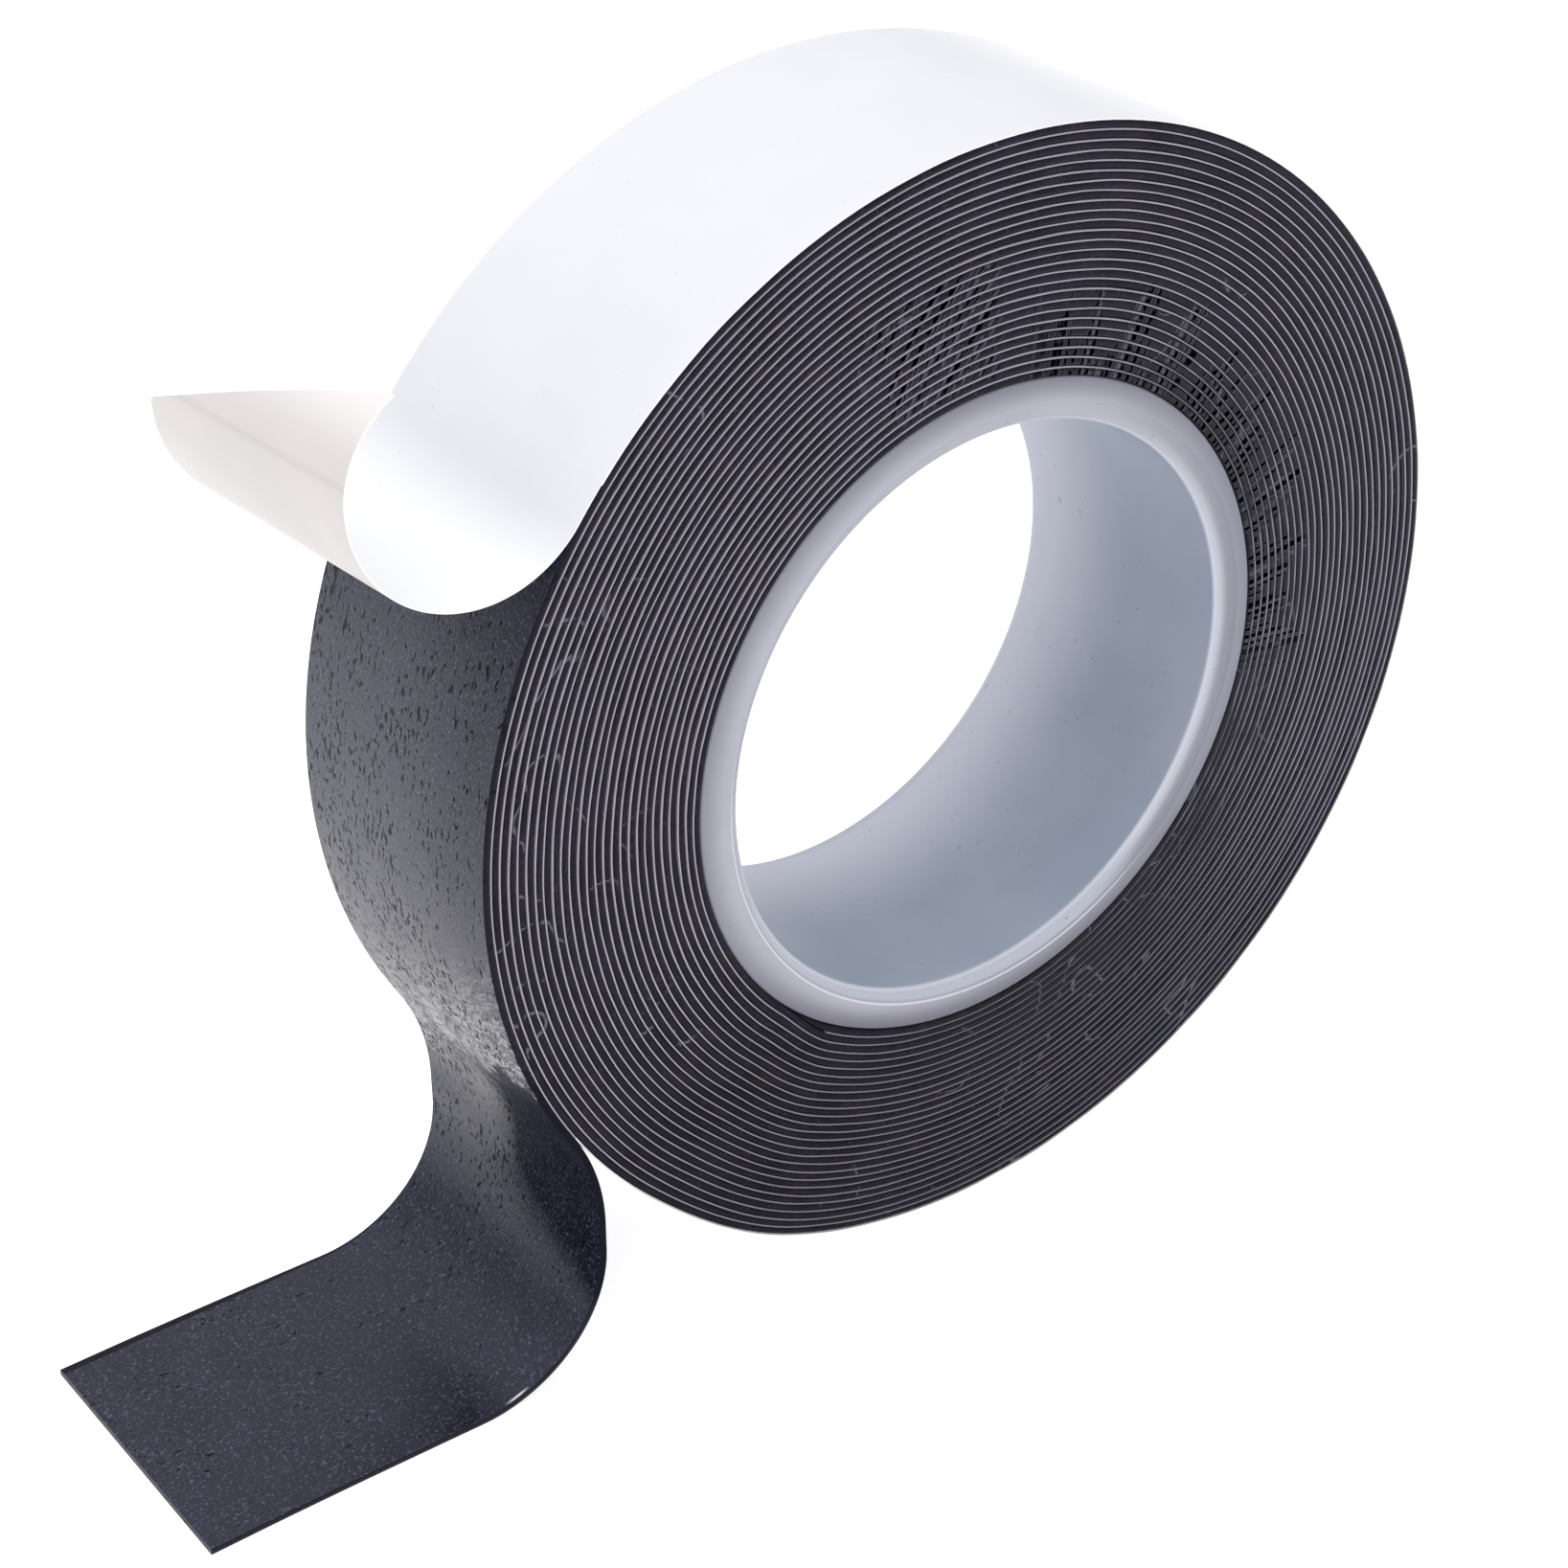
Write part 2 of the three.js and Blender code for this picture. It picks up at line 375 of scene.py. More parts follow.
def knife_marks(s, angle, radius, depth):
    """Ticks across the tape's edge: rows along a radius by the core, and slanting rows.

    Returns the dark slots and the pale burr beside them.
    """
    in_band = s.math("MULTIPLY", s.ramp(depth, 0.04, 0.14), s.ramp(depth, 1.0, 0.9))
    reach = s.ramp(line_noise(s, angle, 11, 3.0), 0.3, 0.7, 22.4 * MM, 27.5 * MM)
    inside = s.ramp(s.math("SUBTRACT", reach, radius), 0, 0.5 * MM)
    zone = window(s, angle, math.radians(-6), math.radians(80), math.radians(8))
    slant = s.math("MULTIPLY_ADD", radius, 39.7, angle)
    slant_zone = window(s, angle, math.radians(93), math.radians(108), math.radians(4))
    far = window(s, radius, 22.5 * MM, 29 * MM, 0.5 * MM)
    gaps = s.ramp(s.noise(s.place((1500, 1500, 1500)), detail=1.0), 0.38, 0.48)
    straight = together(s, inside, zone, gaps, in_band)
    slanting = together(s, slant_zone, far, gaps, in_band)
    drift = s.math("MULTIPLY", line_noise(s, angle, 13, 5.0), 8.0)
    wave = s.math("SINE", s.math("MULTIPLY_ADD", angle, 235, drift))
    loose = s.math("MULTIPLY_ADD", line_noise(s, angle, 36, 1.3), 0.55, 0.225)
    rows = s.math("MULTIPLY_ADD", wave, 0.09, loose)
    slant_rows = line_noise(s, slant, 40, 7.0)

    def cut(low, high):
        first = s.math("MULTIPLY", s.ramp(rows, low, high), straight)
        second = s.math("MULTIPLY", s.ramp(slant_rows, low + 0.03, high + 0.04), slanting)
        return s.math("MAXIMUM", first, second)

    slots = cut(0.475, 0.53)
    return slots, s.math("SUBTRACT", cut(0.41, 0.46), slots)


def rubbed_and_shaded_zone(s, angle, radius):
    """Where the side is rubbed and dirty: by the core, on the right and below. On the liner's
    wound edges the same zone carries painted shade.
    """
    patch = s.noise(s.place((330, 330, 330), (0.1, 0.5, 0)), detail=3.0, roughness=0.6)
    around = s.ramp(s.math("COSINE", s.math("ADD", angle, math.radians(15))), -0.25, 0.5)
    by_core = s.ramp(radius, 29 * MM, 22.5 * MM)
    return together(s, s.ramp(patch, 0.38, 0.56, 0.35, 0.95), around, by_core)


def scratches(s, rubbed):
    """Thin pale hairs and nicks, in patches, and more of them where the side is rubbed."""
    field = s.noise(s.place((150, 150, 150)), detail=1.0, distortion=0.2)
    hairs = s.ramp(s.math("ABSOLUTE", s.math("SUBTRACT", field, 0.5)), 0.007, 0.003)
    patches = s.ramp(s.noise(s.place((75, 75, 75), (0.3, 0, 0.1)), detail=2.0), 0.55, 0.62)
    patches = s.math("MAXIMUM", patches, rubbed)
    breaks = s.ramp(s.noise(s.place((900, 900, 900)), detail=1.0), 0.46, 0.56)
    return together(s, hairs, patches, breaks)


def rubber_edge():
    """The tape's cut edges, seen on the side of the roll."""
    s = Shader("rubber_edge")
    depth = s.split(s.strip())[2]
    angle, radius = polar(s)
    grain = s.noise(s.place((3600, 3600, 3600)), detail=3.0, roughness=0.65)
    mottle = s.noise(s.place((260, 260, 260)), detail=3.0)
    tint = s.noise(s.place((420, 420, 420), (0.7, 0.2, 0.4)), detail=2.0)
    slots, burr = knife_marks(s, angle, radius, depth)
    rubbed = rubbed_and_shaded_zone(s, angle, radius)
    hairs = scratches(s, rubbed)
    base = s.mix(s.ramp(mottle, 0.35, 0.65), tone(8, 7, 13), tone(17, 16, 27))
    base = s.mix(s.ramp(tint, 0.56, 0.68, 0.0, 0.6), base, tone(32, 19, 25))
    base = s.mix(s.ramp(grain, 0.54, 0.72, 0.0, 0.6), base, tone(50, 50, 60))
    base = s.mix(s.math("MULTIPLY", rubbed, 0.5), base, tone(36, 35, 38))
    base = s.mix(s.math("MULTIPLY", hairs, 0.6), base, tone(104, 104, 116))
    base = s.mix(s.math("MULTIPLY", burr, 0.7), base, tone(76, 76, 90))
    base = s.mix(slots, base, tone(3, 3, 4))
    s.set(base_color=base)
    s.set(roughness=s.ramp(grain, 0.3, 0.7, 0.45, 0.62))
    low = s.ramp(s.math("SINE", angle), -0.2, -0.9)
    shine = s.math("MULTIPLY_ADD", low, -0.06, 0.135)
    s.set(specular_ior_level=s.math("MULTIPLY", shine, s.math("SUBTRACT", 1.0, slots)))
    s.set(specular_tint=(0.76, 0.75, 1.0, 1.0))
    relief = s.math("MULTIPLY_ADD", slots, -2.5, s.math("MULTIPLY_ADD", burr, 0.6, grain))
    s.set(normal=s.bump(relief, 0.5, 0.04 * MM))
    return s.material


def rubber_skin():
    """The tape's broad faces: pitted where it was pressed to the liner, with pale specks, painted
    highlights along a crease's wrinkles and a painted glint at the bend's near edge.
    """
    s = Shader("rubber_skin")
    along, across, depth = s.split(s.strip())
    edge = s.math("MAXIMUM", on_edge(s, across, 0.05 * MM), window(s, depth, 0.08, 0.92, 0.06))
    nearness = s.ramp(across, 2 * MM, -HALF_WIDTH)
    on_roll = s.ramp(along, 2 * MM, -2 * MM)
    pits = s.noise(s.strip((1600, 3700, 1)), detail=1.5, roughness=0.5, distortion=0.5)
    patches = s.noise(s.strip((210, 260, 1)), detail=2.0)
    grain = s.noise(s.strip((4200, 5200, 1)), detail=2.0, roughness=0.6)
    mottle = s.noise(s.strip((330, 330, 1)), detail=4.0, roughness=0.65)
    slanted = s.math("MULTIPLY_ADD", across, -0.55, along)
    crease_at = s.math("MULTIPLY_ADD", s.ramp(mottle, 0.3, 0.7), 2.4 * MM, slanted)
    above, below = s.ramp(crease_at, -11 * MM, -1 * MM), s.ramp(crease_at, 1.2 * MM, 0.4 * MM)
    crease = s.math("MULTIPLY", above, below)
    crowd = s.math("MULTIPLY_ADD", crease, 0.03, s.ramp(patches, 0.36, 0.6, -0.05, 0.035))
    crowded = s.math("ADD", pits, s.math("MULTIPLY_ADD", nearness, -0.045, crowd))
    flat = s.ramp(along, 9 * MM, 20 * MM)
    crowded = s.math("MULTIPLY_ADD", flat, -0.09, crowded)
    pit_mask = s.ramp(crowded, 0.565, 0.635)
    rims = s.math("SUBTRACT", s.ramp(crowded, 0.53, 0.58), pit_mask)
    by_crease = s.node("CombineXYZ", {"X": slanted, "Y": across}).outputs["Vector"]
    drawn_out = s.mapping(by_crease, (1500, 480, 1))
    streaks = s.noise(drawn_out, detail=3.0, roughness=0.65, distortion=1.5)
    ridges = s.math("MULTIPLY", crease, s.ramp(streaks, 0.44, 0.58))
    base = s.mix(s.ramp(mottle, 0.3, 0.7), tone(13, 14, 23), tone(27, 29, 42))
    base = s.mix(s.ramp(grain, 0.56, 0.68, 0.0, 0.75), base, tone(80, 84, 104))
    base = s.mix(s.math("MULTIPLY", rims, 0.35), base, tone(70, 71, 86))
    dust = s.noise(s.strip((2300, 2500, 1), (0.2, 0.1, 0)), detail=3.0, roughness=0.7)
    dusty = s.ramp(along, 4 * MM, 18 * MM)
    dusty_patches = s.ramp(patches, 0.4, 0.6, 0.3, 1.0)
    dust_mask = together(s, s.ramp(dust, 0.57, 0.68), dusty, dusty_patches)
    base = s.mix(s.math("MULTIPLY", dust_mask, 0.6), base, tone(92, 100, 124))
    # Painted highlight: pale streaks along the crease's wrinkles.
    base = s.mix(s.math("MULTIPLY", ridges, 0.7), base, tone(158, 155, 163))
    base = s.mix(s.math("MULTIPLY", pit_mask, 0.75), base, tone(5, 5, 8))
    base = s.mix(edge, base, tone(24, 23, 31))
    # Painted glint: a small pale streak at the near edge of the bend.
    glint_along = window(s, along, 21.0 * MM, 21.3 * MM, 0.9 * MM)
    glint_across = window(s, across, -9.15 * MM, -9.1 * MM, 0.1 * MM)
    base = s.mix(s.math("MULTIPLY", glint_along, glint_across), base, tone(205, 205, 214))
    s.set(base_color=base)
    skin = s.ramp(mottle, 0.25, 0.75, 0.27, 0.38)
    s.set(roughness=s.math("MAXIMUM", skin, s.math("MULTIPLY", pit_mask, 0.6)))
    # The near side reflects less: a little on the roll, and more below the line where it leaves.
    drop = s.ramp(s.math("MULTIPLY_ADD", across, 0.47, along), 10.5 * MM, 7 * MM)
    below_crease = s.ramp(crease_at, 0.2 * MM, 1.2 * MM)
    drop_dark = together(s, drop, below_crease, s.ramp(across, 2.4 * MM, -1.8 * MM))
    roll_dark = s.math("MULTIPLY", s.math("MULTIPLY", nearness, on_roll), 0.26)
    on_faces = s.math("SUBTRACT", 0.52, roll_dark)
    on_drop = s.math("SUBTRACT", on_faces, s.math("MULTIPLY", drop_dark, 0.52))
    lower = s.math("MULTIPLY", s.ramp(along, 1 * MM, 12 * MM), 0.13)
    on_end = s.math("SUBTRACT", on_drop, lower)
    shine = s.math("MAXIMUM", s.math("MULTIPLY_ADD", pit_mask, -0.22, on_end), 0.02)
    s.set(specular_ior_level=s.math("MULTIPLY", shine, s.math("MULTIPLY_ADD", edge, -0.75, 1.0)))
    s.set(specular_tint=(0.76, 0.76, 1.0, 1.0))
    relief = s.math("MULTIPLY_ADD", pit_mask, -1.2, s.math("MULTIPLY_ADD", ridges, 1.6, grain))
    s.set(normal=s.bump(relief, 0.6, 0.035 * MM))
    return s.material


def liner_film(name, edge_shaded, edge_lit, edge_width, fold=None):
    """Satin film. Its coated face is warmer, and its cut edge is greyer where it is wound.
    Light and shade are painted on the cut edge: brighter on the left, towards the light, dimmer on
    the right, and on the roll darker below and in the rubbed zone.

    `fold` is how far along the free end a soft crease lies. The crease is painted: a thin line of
    painted shade on it and paler coated film past it, and the free end's outer face is painted
    paler, as painted light.
    """
    s = Shader(name)
    along, across, depth = s.split(s.strip())
    edge = on_edge(s, across, edge_width)
    haze = s.noise(s.strip((90, 90, 1)), detail=4.0, roughness=0.6)
    coated = s.mix(s.ramp(haze, 0.3, 0.7), tone(193, 188, 187), tone(189, 185, 183))
    outer = s.mix(s.ramp(haze, 0.3, 0.7), tone(208, 209, 214), tone(211, 212, 217))
    if fold:
        # Painted light and shade: a paler outer face on the free end, paler coated film past the
        # crease and a painted shade line on it.
        outer = s.mix(s.ramp(along, 0, 5 * MM), outer, tone(226, 227, 229))
        coated = s.mix(s.ramp(along, fold, fold + 5 * MM, 0.0, 0.7), coated, tone(228, 225, 224))
        from_fold = s.math("ABSOLUTE", s.math("SUBTRACT", along, fold))
        coated = s.mix(s.ramp(from_fold, 0.4 * MM, 0.0, 0.0, 0.22), coated, tone(150, 144, 142))
    base = s.mix(s.ramp(depth, 0.2, 0.8), coated, outer)
    specks = s.noise(s.strip((2600, 2600, 1)), detail=0.0)
    base = s.mix(s.ramp(specks, 0.82, 0.87, 0.0, 0.2), base, tone(160, 152, 156))
    angle, radius = polar(s)
    # Painted light and shade: the cut edge brighter towards the light on the left, dimmer on the
    # right.
    side = s.math("COSINE", s.math("SUBTRACT", angle, math.radians(195)))
    worn = s.ramp(line_noise(s, along, 1500), 0.3, 0.6, 0.7, 1.0)
    edge_tone = s.mix(s.ramp(side, 0.1, 0.95), edge_shaded, edge_lit)
    edge_tone = s.mix(worn, edge_shaded, edge_tone)
    if not fold:
        # Painted shade: the edges on the roll darker below, where the floor under the roll is
        # shaded.
        low = s.ramp(s.math("SINE", angle), -0.3, -0.95, 0.0, 0.7)
        edge_tone = s.mix(low, edge_tone, tone(60, 60, 70))
        # Painted shade: the edges darker again in the rubbed zone on the right, by the core.
        edge_tone = s.mix(rubbed_and_shaded_zone(s, angle, radius), edge_tone, tone(60, 58, 66))
    base = s.mix(edge, base, edge_tone)
    s.set(base_color=base)
    s.set(roughness=s.ramp(haze, 0.3, 0.7, 0.34, 0.44))
    s.set(specular_ior_level=0.4)
    fibre = s.noise(s.strip((700, 2600, 1)), detail=3.0)
    s.set(normal=s.bump(fibre, 0.05, 0.02 * MM))
    return s.material


def core_plastic():
    """Milky plastic, with light and shade painted on: painted shade where it meets the tape, on
    the right and below; painted light on the left and round the bore on the right; painted
    highlights on the ridge and the bore's edge, painted light on the bevel below; and the wall
    painted paler towards the far end.
    """
    s = Shader("core_plastic")
    y = s.split(s.place())[1]
    angle, radius = polar(s)
    drift = s.math("COSINE", s.math("SUBTRACT", angle, RIDGE_DRIFT_ANGLE))
    drifted = s.math("MULTIPLY_ADD", drift, -RIDGE_DRIFT * MM, radius)
    cloud = s.noise(s.place((120, 120, 120)), detail=4.0)
    wall = s.mix(s.ramp(cloud, 0.3, 0.7), tone(132, 141, 156), tone(141, 149, 163))
    # Painted light: the wall paler towards the far end, for light coming through the plastic.
    pale = s.ramp(y, -2 * MM, CORE_FAR_FACE, 0.0, 0.9)
    wall = s.mix(pale, wall, tone(188, 190, 201))
    face = s.mix(s.ramp(cloud, 0.3, 0.7), tone(146, 147, 157), tone(154, 155, 165))
    # Painted shade: darker by the tape and on the right.
    outer = s.ramp(radius, 19.5 * MM, 21.3 * MM)
    right = s.ramp(s.math("COSINE", s.math("SUBTRACT", angle, math.radians(-25))), -0.3, 0.9)
    face = s.mix(outer, face, tone(112, 112, 124))
    face = s.mix(s.math("MULTIPLY", right, 0.65), face, tone(106, 109, 123))
    # Painted light: paler round the bore on the right and on the left.
    glow = s.math("MULTIPLY", s.ramp(radius, 19.6 * MM, 18.8 * MM), right)
    face = s.mix(s.math("MULTIPLY", glow, 0.7), face, tone(186, 189, 198))
    left = s.ramp(s.math("COSINE", s.math("SUBTRACT", angle, math.radians(165))), 0.2, 0.95)
    face = s.mix(s.math("MULTIPLY", left, 0.15), face, tone(176, 176, 188))
    # Painted shade below, by the tape.
    under = s.ramp(s.math("COSINE", s.math("SUBTRACT", angle, math.radians(270))), 0.3, 0.95)
    face = s.mix(s.math("MULTIPLY", s.math("MULTIPLY", under, outer), 0.7), face, tone(84, 82, 95))
    # Painted highlight along the ridge, on the lower side.
    ridge = window(s, drifted, 19.63 * MM, 19.7 * MM, 0.06 * MM)
    lower = s.ramp(s.math("COSINE", s.math("SUBTRACT", angle, math.radians(240))), 0.2, 0.6)
    ridge_highlight = s.math("MULTIPLY", ridge, s.math("MULTIPLY", lower, 0.6))
    face = s.mix(ridge_highlight, face, tone(200, 203, 210))
    # Painted light on the bevel, on the lower side.
    bevel = s.ramp(drifted, 19.6 * MM, 19.4 * MM)
    face = s.mix(s.math("MULTIPLY", bevel, lower), face, tone(158, 162, 173))
    # Painted highlight on the bore's rounded edge.
    lip = window(s, radius, 18.6 * MM, 18.72 * MM, 0.08 * MM)
    face = s.mix(s.math("MULTIPLY", lip, 0.35), face, tone(196, 200, 208))
    on_face = s.ramp(radius, BORE_RADIUS + 0.03 * MM, BORE_RADIUS + 0.12 * MM)
    base = s.mix(on_face, wall, face)
    specks = s.noise(s.place((2600, 2600, 2600)), detail=0.0)
    base = s.mix(s.ramp(specks, 0.79, 0.86, 0.0, 0.35), base, tone(100, 106, 118))
    s.set(base_color=base)
    s.set(roughness=s.ramp(cloud, 0.3, 0.7, 0.40, 0.52))
    s.set(specular_ior_level=0.35)
    s.set(subsurface_weight=0.25)
    s.surface.inputs["Subsurface Radius"].default_value = (1.0, 1.05, 1.15)
    s.surface.inputs["Subsurface Scale"].default_value = 0.6 * MM
    fine = s.noise(s.place((2200, 2200, 2200)), detail=3.0)
    s.set(normal=s.bump(fine, 0.12, 0.02 * MM))
    return s.material


RUBBER_SKIN = rubber_skin()
RUBBER_EDGE = rubber_edge()
# A cut edge of the liner: its dim tone, for the painted shade on the right, its bright tone, for
# the painted light on the left, and how wide it shows.
OPEN_EDGE = (tone(214, 211, 214), tone(224, 221, 224), 0.02 * MM)
WOUND_EDGE = (tone(132, 130, 143), tone(148, 141, 153), 0.16 * MM)
LINER_FILM = liner_film("liner_film", *OPEN_EDGE)
WOUND_LINER = liner_film("liner_wound", *WOUND_EDGE)
FREE_LINER = liner_film("liner_free", *OPEN_EDGE, LINER_FOLD)
CORE_PLASTIC = core_plastic()

# ---------------------------------------------------------------- the core


# The near end's section from the outside to the bore, in millimetres: (radius, depth from the end
# face, share of the ridge's drift).
NEAR_END = [
    (21.30, 5.00, 0.0),
    (21.30, 0.40, 0.0),
    (21.28, 0.16, 0.0),
    (21.22, 0.05, 0.0),
    (21.12, -0.01, 0.0),
    (20.90, -0.06, 0.1),
    (20.55, -0.11, 0.4),
    (20.20, -0.15, 0.7),
    (19.90, -0.17, 0.9),
    (19.72, -0.18, 1.0),
    (19.66, -0.17, 1.0),
    (19.60, -0.12, 1.0),
    (19.52, -0.06, 0.9),
    (19.30, 0.03, 0.6),
    (19.00, 0.12, 0.3),
    (18.80, 0.19, 0.1),
    (18.66, 0.26, 0.0),
    (18.58, 0.36, 0.0),
    (18.53, 0.52, 0.0),
    (18.50, 0.80, 0.0),
    (18.50, 5.00, 0.0),
]
# The far end's section from the bore to the outside, in millimetres: (radius, depth).
FAR_END = [
    (18.50, 2.20),
    (18.51, 1.60),
    (18.54, 1.10),
    (18.60, 0.70),
    (18.72, 0.35),
    (18.90, 0.12),
    (19.15, 0.00),
    (19.60, -0.02),
    (21.10, 0.00),
    (21.25, 0.06),
    (21.30, 0.20),
    (21.30, 3.00),
]


def make_core():
    near = [(r, -HALF_WIDTH / MM + depth, drift) for r, depth, drift in NEAR_END]
    far = [(r, CORE_FAR_FACE / MM - depth, 0.0) for r, depth in FAR_END]
    profile = np.array(near + far) * MM
    around = 288
    angles = np.arange(around) * 2 * math.pi / around
    loop = len(profile)
    drift = RIDGE_DRIFT * np.cos(angles - RIDGE_DRIFT_ANGLE)
    radius = profile[:, 0] + drift[:, None] * profile[:, 2]
    vertices = np.empty((around, loop, 3))
    vertices[:, :, 0] = AXIS.x + np.cos(angles)[:, None] * radius
    vertices[:, :, 1] = profile[:, 1]
    vertices[:, :, 2] = AXIS.z + np.sin(angles)[:, None] * radius
    faces = []
    for i in range(around):
        for j in range(loop):
            k, m = (i + 1) % around, (j + 1) % loop
            faces.append((i * loop + j, i * loop + m, k * loop + m, k * loop + j))
    core = new_object("core_ring", vertices.reshape(-1, 3), faces, CORE_PLASTIC, 60)
    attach(core, "roll")
    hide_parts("core")


make_core()

# ---------------------------------------------------------------- the wound strip

STEPS_PER_TURN = 200
PINCHED_TURNS = 11 / 360
PINCHED_THICKNESS = 0.01 * MM


def wound_piece(name, first_turn, last_turn, depth, thickness, section, material, sideways):
    count = round((last_turn - first_turn) * STEPS_PER_TURN) + 1
    turns = np.linspace(first_turn, last_turn, count)
    inner = winding(turns, depth)
    normals = (winding(turns, depth + thickness) - inner) / thickness
    along = lengths_along(inner)
    # Ahead of its own start the strip is pinched under the layer that climbs over it.
    room = TURN_PITCH * layers_below(turns + 1) - 2 * LAYER_GAP
    thick = np.where(turns < 0, np.clip(room, PINCHED_THICKNESS, thickness), thickness)
    obj = make_strip(
        name, inner, normals, along, thick, section, material, sideways=sideways(turns)
    )
    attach(obj, "roll")
    return obj


def tape_sideways(turns):
    terms = [(0.020, 2.1, 0.3), (0.016, 5.3, 1.7), (0.012, 11.9, 0.6), (0.008, 29.0, 2.0)]
    return waves(turns, terms) * MM


def liner_sideways(turns):
    """The liner stands a little proud of the tape's near edge, most of all on the left."""
    angle = START_ANGLE + turns * 2 * math.pi
    left = smooth_step(0.5 - 0.7 * np.cos(angle - math.radians(15)))
    terms = [(0.008, 6.1, 0.2), (0.010, 23.0, 2.6), (0.010, 171.0, 1.0), (0.008, 247.0, 2.2)]
    proud = 0.005 + 0.025 * left
    return tape_sideways(turns) - proud * MM + waves(turns, terms) * MM


BARE_START = TURNS - BARE_TURNS
tape_wound = wound_piece(
    "tape_wound", -PINCHED_TURNS, BARE_START - 2 * END_OVERLAP, 0, TAPE_THICKNESS,
    strip_section(2, 0.09 * MM, 0.02 * MM), RUBBER_EDGE, tape_sideways,
)
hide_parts("wound_tape")

liner_wound = wound_piece(
    "liner_wound", 0, TURNS - 1.0, LINER_DEPTH, LINER_THICKNESS,
    strip_section(2, 0.01 * MM, 0.0), WOUND_LINER, liner_sideways,
)
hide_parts("wound_liner")

liner_outer = wound_piece(
    "liner_outer_turn", TURNS - 1.0, BARE_START - END_OVERLAP, LINER_DEPTH, LINER_THICKNESS,
    strip_section(16, 0.01 * MM, 0.0), LINER_FILM, liner_sideways,
)

# ---------------------------------------------------------------- the tape's free end


def join_paths(wound, wound_headings, free, free_headings):
    points = np.concatenate([wound, free[1:]])
    return points, np.concatenate([wound_headings, free_headings[1:]])


def side_normals(headings):
    return unit(headings - math.pi / 2)


BARE_STEPS = 150


def tape_path():
    turns = np.linspace(BARE_START - 2 * END_OVERLAP, TURNS, BARE_STEPS)
    wound = winding(turns, 0)
    angles = START_ANGLE + turns * 2 * math.pi
    leaving_drop = LEAVE_RADIUS * math.sin(math.radians(LEAVE_TURN))
    straight = wound[-1, 1] - leaving_drop - BEND_RADIUS
    flat_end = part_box("tape_flat_end")[0].x
    runs = [(LEAVE_RADIUS, -LEAVE_TURN), (None, straight), (BEND_RADIUS, -90)]
    free, headings = follow(wound[-1], DOWN_AND_RIGHT, runs)
    flat, flat_headings = follow(free[-1], LEFTWARDS, [(None, free[-1, 0] - flat_end)])
    free, headings = join_paths(free, headings, flat, flat_headings)
    return join_paths(wound, angles + math.pi / 2, free, headings)


def make_tape_ends():
    points, headings = tape_path()
    along = lengths_along(points)
    along -= along[BARE_STEPS - 1]
    normals = side_normals(headings)
    lift_hinge = Vector(joints["tape_lift"]["pos_m"])
    in_drop = points[:, 1] <= lift_hinge.z - DROP_BELOW_HINGE
    farthest_right = int(np.argmax(np.where(in_drop, points[:, 0], -np.inf)))
    split = farthest_right + SPLIT_STEPS
    drifting = smooth_step((along - along[split]) / FLAT_END_DRIFT_LENGTH)
    sideways = FLAT_END_DRIFT * drifting
    section = strip_section(24, 0.07 * MM)
    upper = make_strip(
        "tape_upper", points[: split + 1], normals[: split + 1], along[: split + 1],
        TAPE_THICKNESS, section, RUBBER_SKIN, sideways=sideways[: split + 1],
    )
    lower = make_strip(
        "tape_lower", points[split:], normals[split:], along[split:],
        TAPE_THICKNESS, section, RUBBER_SKIN, sideways=sideways[split:],
    )
    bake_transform(upper)
    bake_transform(lower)
    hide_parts("tape_drop")
    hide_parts("tape_flat_end")


make_tape_ends()

# ---------------------------------------------------------------- the liner's free end


def make_liner_ends():
    turns = np.linspace(BARE_START - END_OVERLAP, BARE_START, 10)
    wound = winding(turns, LINER_DEPTH)
    angles = START_ANGLE + turns * 2 * math.pi
    free, headings = follow(wound[-1], angles[-1] + math.pi / 2, LINER_ARCS, 0.2 * MM)
    start = len(wound) - 1
    points, headings = join_paths(wound, angles + math.pi / 2, free, headings)
    along = lengths_along(points)
    along -= along[start]
    normals = side_normals(headings)
    free_along = np.maximum(along, 0)
    cut_start = free_along[-1] - LINER_CUT_LENGTH
    cut = np.clip((free_along - cut_start) / LINER_CUT_LENGTH, 0, 1)
    near = np.full(len(points), -HALF_WIDTH)
    far = HALF_WIDTH - cut * (2 * HALF_WIDTH - LINER_TIP_WIDTH)

    split = int(np.argmin(np.abs(free_along - LINER_SPLIT)))
    section = strip_section(24, 0.01 * MM)

    def part(name, a, b):
        def part_twist(_, across, __):
            share = np.clip((across + HALF_WIDTH) / (2 * HALF_WIDTH), 0, 1)
            grow = smooth_step(free_along[a:b] / LINER_TWIST_LENGTH)[:, None]
            return (share * grow)[:, :, None] * LINER_TWIST

        return make_strip(
            name, points[a:b], normals[a:b], along[a:b], LINER_THICKNESS, section, FREE_LINER,
            near=near[a:b], far=far[a:b], lift=part_twist,
        )

    peel = part("liner_peeled", 0, split + 1)
    curl = part("liner_curl", split, len(points))
    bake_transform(peel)
    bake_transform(curl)
    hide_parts("liner_peel")
    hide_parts("liner_tip")


make_liner_ends()

# ---------------------------------------------------------------- floor, light and camera


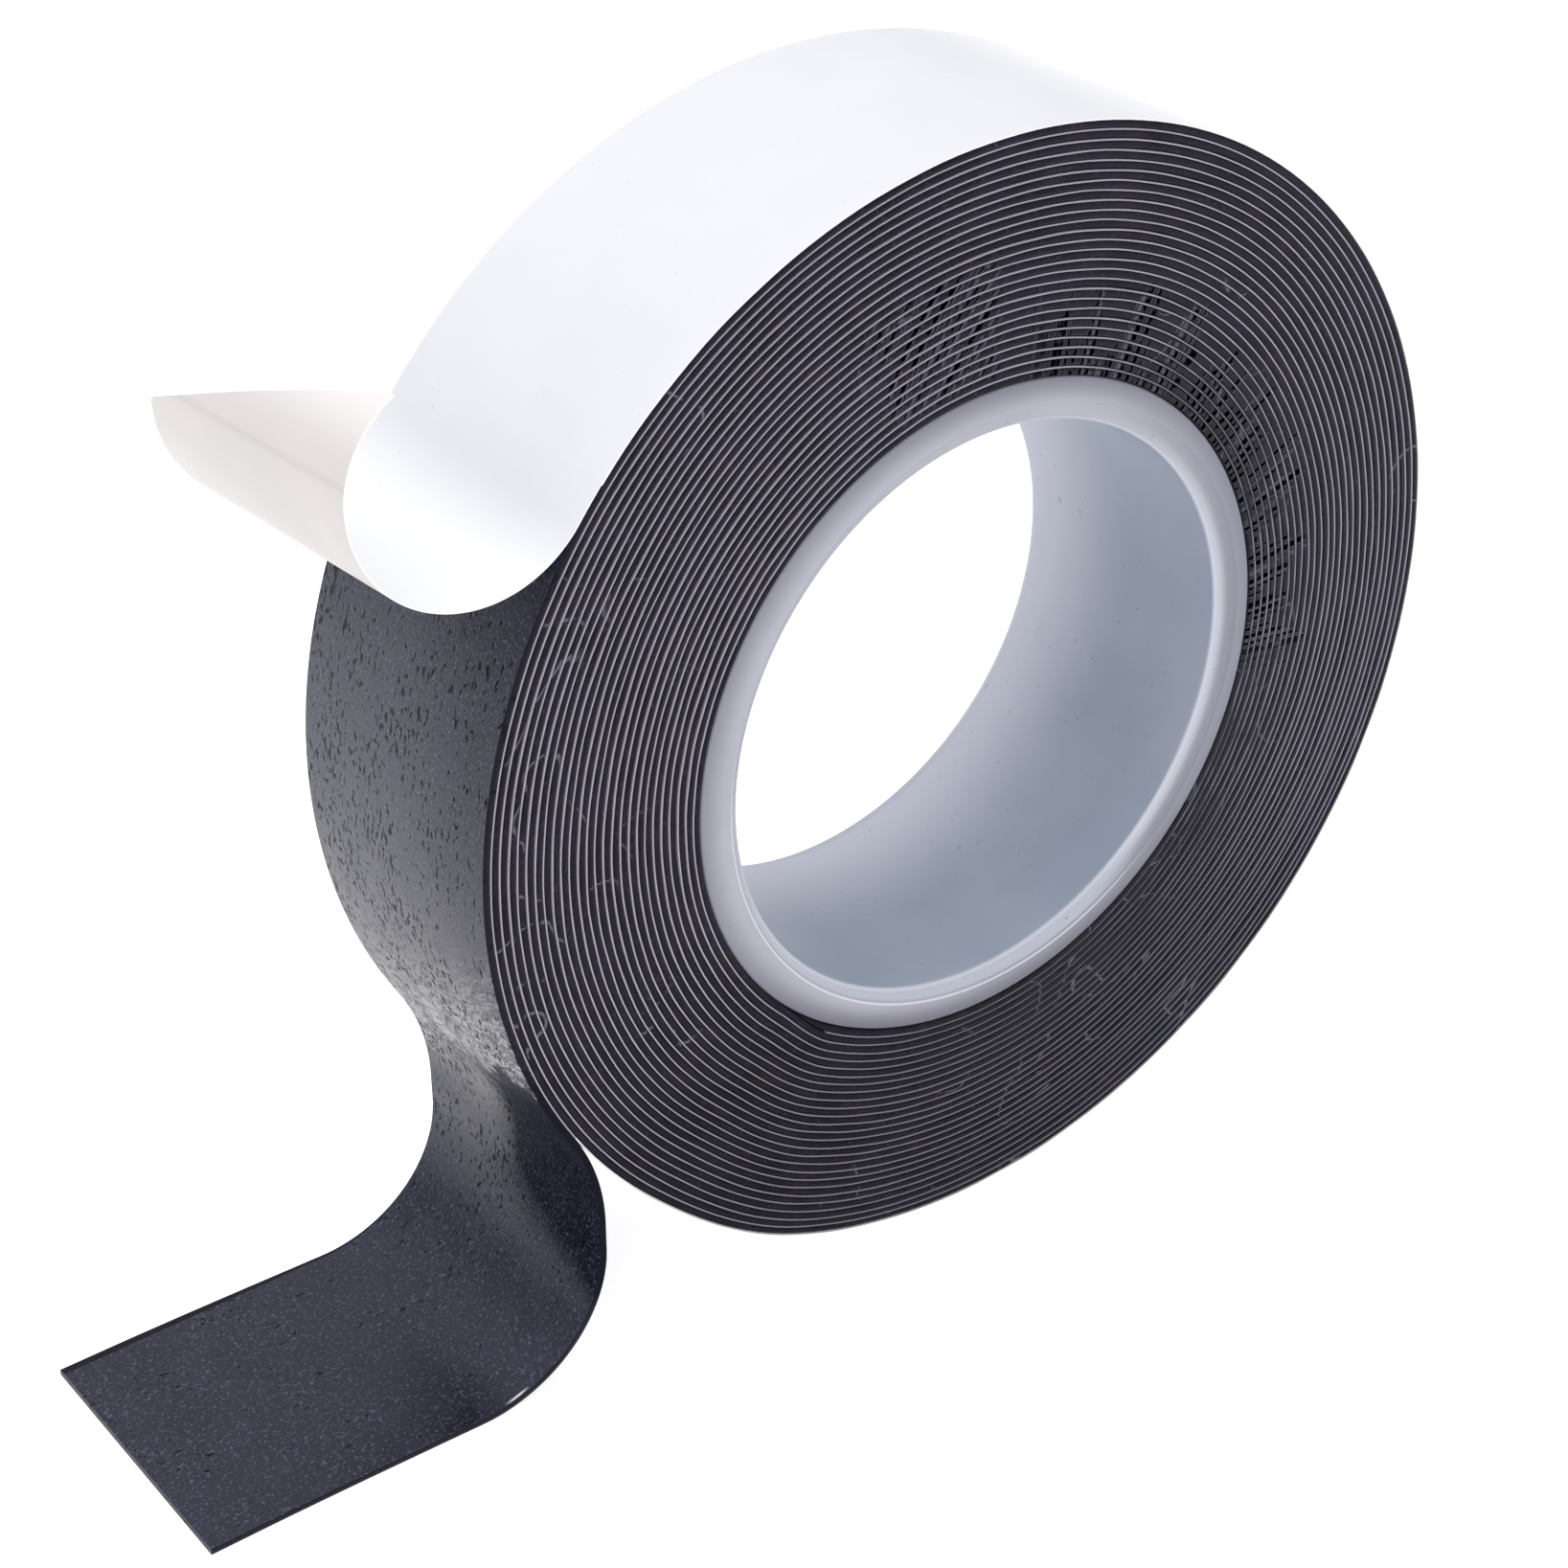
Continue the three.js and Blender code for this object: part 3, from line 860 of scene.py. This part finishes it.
def make_floor():
    s = Shader("floor")
    shade = s.noise(s.place((3, 3, 3)), detail=2.0)
    s.set(base_color=s.mix(shade, (0.69, 0.69, 0.69, 1), (0.71, 0.71, 0.71, 1)))
    s.set(roughness=0.9)
    s.set(emission_color=(1, 1, 1, 1))
    s.set(emission_strength=0.6)
    half = 9.0
    corners = np.array([(-half, -half, 0), (half, -half, 0), (half, half, 0), (-half, half, 0)])
    floor = new_object("floor", corners, [(0, 1, 2, 3)], s.material)


def make_lights():
    """A dome of soft light, brightest above and to the front left."""
    world = bpy.data.worlds.new("studio")
    bpy.context.scene.world = world
    world.use_nodes = True
    nodes, links = world.node_tree.nodes, world.node_tree.links
    background = nodes["Background"]
    direction = nodes.new("ShaderNodeTexCoord").outputs["Generated"]
    towards = nodes.new("ShaderNodeVectorMath")
    towards.operation = "DOT_PRODUCT"
    links.new(direction, towards.inputs[0])
    towards.inputs[1].default_value = Vector((-0.10, -0.25, 0.96)).normalized()
    level = nodes.new("ShaderNodeMapRange")
    level.interpolation_type = "SMOOTHSTEP"
    links.new(towards.outputs["Value"], level.inputs["Value"])
    level.inputs["From Min"].default_value = -0.3
    level.inputs["From Max"].default_value = 1.0
    level.inputs["To Min"].default_value = 0.35
    level.inputs["To Max"].default_value = 1.75
    links.new(level.outputs["Result"], background.inputs["Strength"])
    background.inputs["Color"].default_value = (1.0, 0.995, 1.0, 1)


def make_camera():
    """The camera looks from the front left and above. Distances are in roll radii."""
    roll_radius = 35.9 * MM
    azimuth, elevation = math.radians(-37.132), math.radians(31.794)
    target = AXIS + roll_radius * Vector((-0.2289, 0, -0.1814))
    distance = 5.5892 * roll_radius
    back = Vector(
        (
            math.sin(azimuth) * math.cos(elevation),
            -math.cos(azimuth) * math.cos(elevation),
            math.sin(elevation),
        )
    )
    data = bpy.data.cameras.new("camera")
    data.sensor_width = 36
    data.lens = 74.91
    data.clip_start, data.clip_end = 0.01, 20
    camera = bpy.data.objects.new("camera", data)
    bpy.context.scene.collection.objects.link(camera)
    camera.location = target + back * distance
    camera.rotation_mode = "QUATERNION"
    camera.rotation_quaternion = (-back).to_track_quat("-Z", "Y")
    bpy.context.scene.camera = camera


make_floor()
make_lights()
make_camera()
bpy.context.scene.view_settings.view_transform = "Standard"
